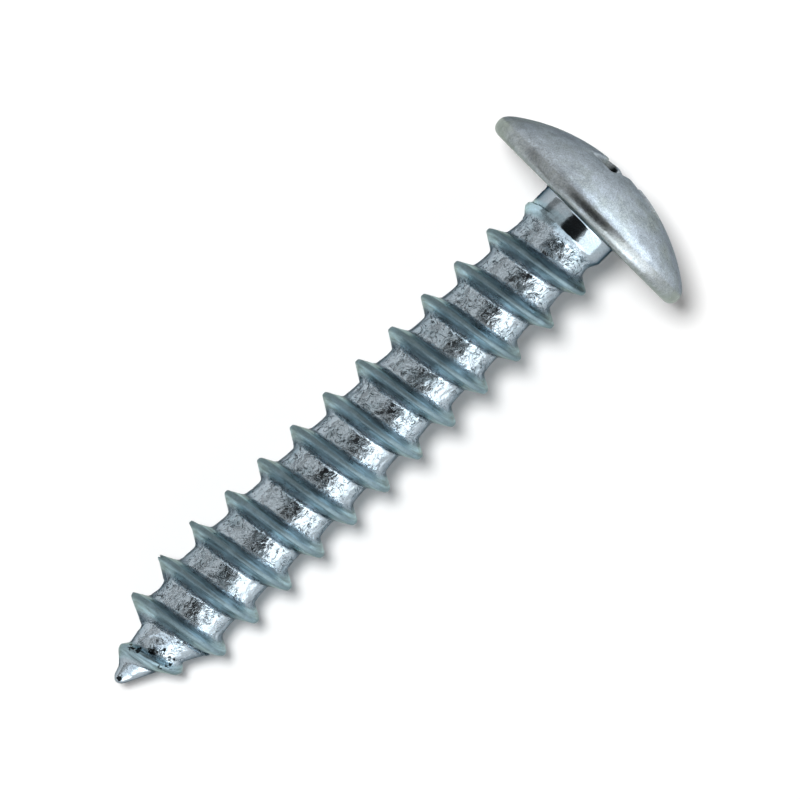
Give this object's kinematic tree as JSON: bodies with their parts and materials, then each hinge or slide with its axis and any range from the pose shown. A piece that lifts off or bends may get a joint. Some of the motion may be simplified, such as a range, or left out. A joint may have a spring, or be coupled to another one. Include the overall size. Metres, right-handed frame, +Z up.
{
  "type": "truss head tapping screw",
  "caption": "Steel tapping screw with a wide, low domed head, a cross recess, a coarse thread up to the neck and a gimlet point.",
  "frame": {"origin": "middle of the bounding box's underside, on the surface that the screw lies on", "axes": "+X runs with the screw from its head to its point, +Z is up as the screw lies on its rim and on the last whole crest of its thread, so its own axis points 7.0 degrees down from +X"},
  "size_m": [0.0262, 0.0092, 0.0092],
  "materials": {
    "zinc_plated_steel": "clear zinc plating, satin on the head and shiny on the rolled thread"
  },
  "bodies": {
    "root": {"screw": "zinc_plated_steel"}
  },
  "joints": []
}
